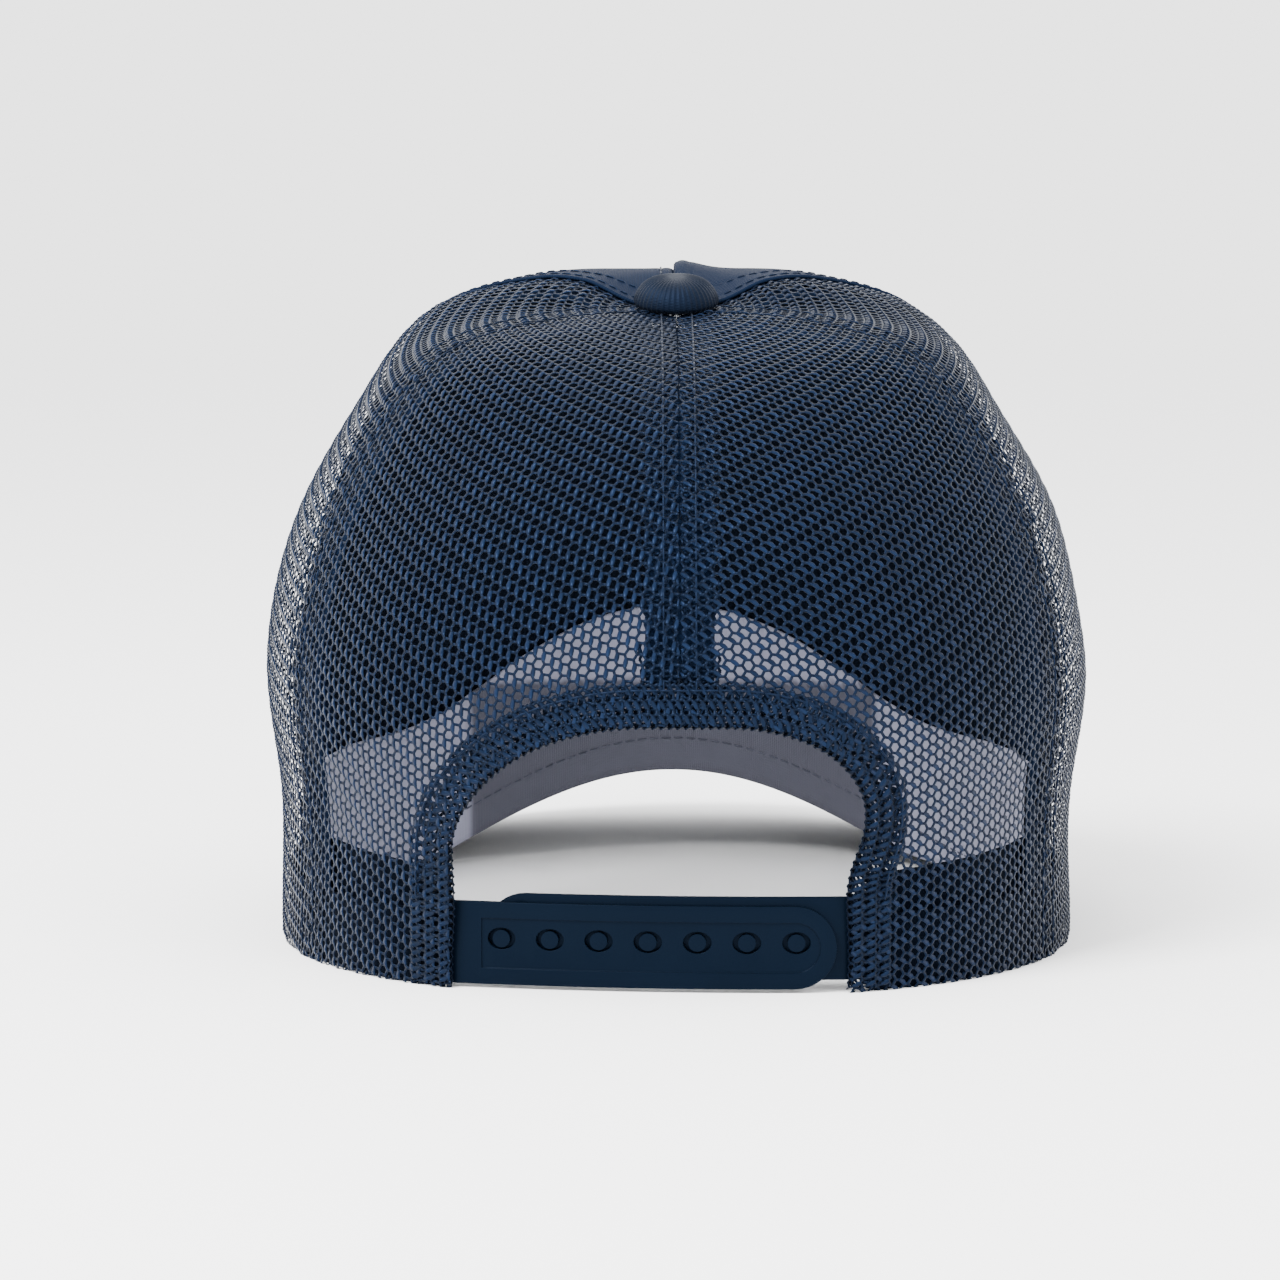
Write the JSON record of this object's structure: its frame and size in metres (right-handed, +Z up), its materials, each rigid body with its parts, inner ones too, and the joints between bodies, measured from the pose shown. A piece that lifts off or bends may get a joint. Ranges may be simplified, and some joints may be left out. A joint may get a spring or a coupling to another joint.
{
  "type": "trucker cap",
  "caption": "Six-panel cap with a twill front, mesh sides and back, curved visor, covered button and a snap strap under a half-moon opening.",
  "frame": {"origin": "on the ground, under the middle of the cap's box, visor included", "axes": "+Z up, the visor points to -Y, the strap closes at +Y, +X is the wearer's left"},
  "size_m": [0.1762, 0.2696, 0.1414],
  "materials": {
    "twill": "navy cotton twill, matt",
    "mesh_fabric": "navy polyester warp-knit mesh with a faint sheen",
    "tape": "navy cotton tape",
    "pale_cotton": "pale cotton, matt",
    "navy_cotton": "navy cotton, matt",
    "buckram": "stiff open-weave buckram",
    "button_fabric": "navy knit over a metal button",
    "board_plastic": "plain polyethylene sheet",
    "strap_plastic": "satin moulded plastic",
    "steel": "plated steel"
  },
  "bodies": {
    "crown": {"front_panel_left": "twill", "front_panel_right": "twill", "front_stiffener_left": "buckram", "front_stiffener_right": "buckram", "side_mesh_left": "mesh_fabric", "side_mesh_right": "mesh_fabric", "back_mesh_left": "mesh_fabric", "back_mesh_right": "mesh_fabric", "seam_tape_front_centre": "tape", "seam_tape_front_left": "tape", "seam_tape_front_right": "tape", "seam_tape_rear_left": "tape", "seam_tape_rear_right": "tape", "seam_tape_back_centre": "tape", "opening_binding": "mesh_fabric", "sweatband_front": "pale_cotton", "sweatband_left": "navy_cotton", "sweatband_right": "navy_cotton", "visor_under_cover": "twill", "visor_board": "board_plastic", "visor_top_cover": "twill", "visor_edge_binding": "twill", "button_cover": "button_fabric", "button_shell": "steel", "button_shank": "steel", "button_washer": "steel", "holed_strap_tab": "strap_plastic", "pegged_strap_tab": "strap_plastic"},
    "outer_strap": {"holed_strap": "strap_plastic"},
    "inner_strap": {"pegged_strap": "strap_plastic"}
  },
  "joints": [
    {"name": "outer_strap_swing", "type": "hinge", "parent": "crown", "child": "outer_strap", "pos_m": [0.04336, 0.12082, 0.009], "axis": [0, 0, -1], "range_deg": [0, 70], "stiffness_Nm_per_rad": 0.001},
    {"name": "inner_strap_swing", "type": "hinge", "parent": "crown", "child": "inner_strap", "pos_m": [-0.03136, 0.1263, 0.0105], "axis": [0, 0, -1], "range_deg": [0, 35], "stiffness_Nm_per_rad": 0.001}
  ]
}
